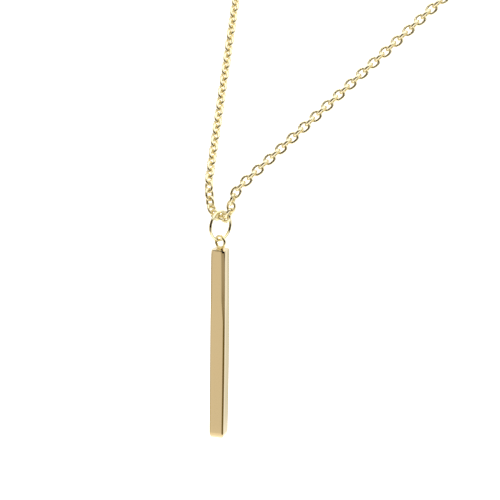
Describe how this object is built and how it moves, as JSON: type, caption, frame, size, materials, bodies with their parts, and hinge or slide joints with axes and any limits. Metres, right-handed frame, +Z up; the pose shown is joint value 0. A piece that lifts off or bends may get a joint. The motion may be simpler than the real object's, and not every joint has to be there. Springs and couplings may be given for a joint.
{
  "type": "bar pendant necklace",
  "caption": "Slim square polished bar with a wire loop, hung from a round jump ring on a fine oval-link cable chain with a plain closed clasp.",
  "frame": {"origin": "middle of the closed clasp, at the nape of the neck, where the necklace hangs", "axes": "+Z up, -Y to the front where the bar hangs, +X to the wearer's left; the bar's length runs along Z"},
  "size_m": [0.0965, 0.102, 0.1581],
  "materials": {
    "bar_gold": "polished pale yellow gold plate",
    "ring_gold": "polished pale yellow gold plate",
    "chain_gold": "polished pale yellow gold plate",
    "clasp_gold": "polished pale yellow gold plate"
  },
  "bodies": {
    "necklace": {"chain_left": "chain_gold", "chain_right": "chain_gold", "clasp": "clasp_gold"},
    "ring": {"jump_ring": "ring_gold"},
    "pendant": {"bar": "bar_gold"}
  },
  "joints": [
    {"name": "ring_swing", "type": "hinge", "parent": "necklace", "child": "ring", "pos_m": [0, -0.09753, -0.11274], "axis": [1, 0, 0], "range_deg": [-90, 90]},
    {"name": "bar_swing", "type": "hinge", "parent": "ring", "child": "pendant", "pos_m": [0, -0.09753, -0.11646], "axis": [0, 1, 0], "range_deg": [-90, 90]}
  ]
}
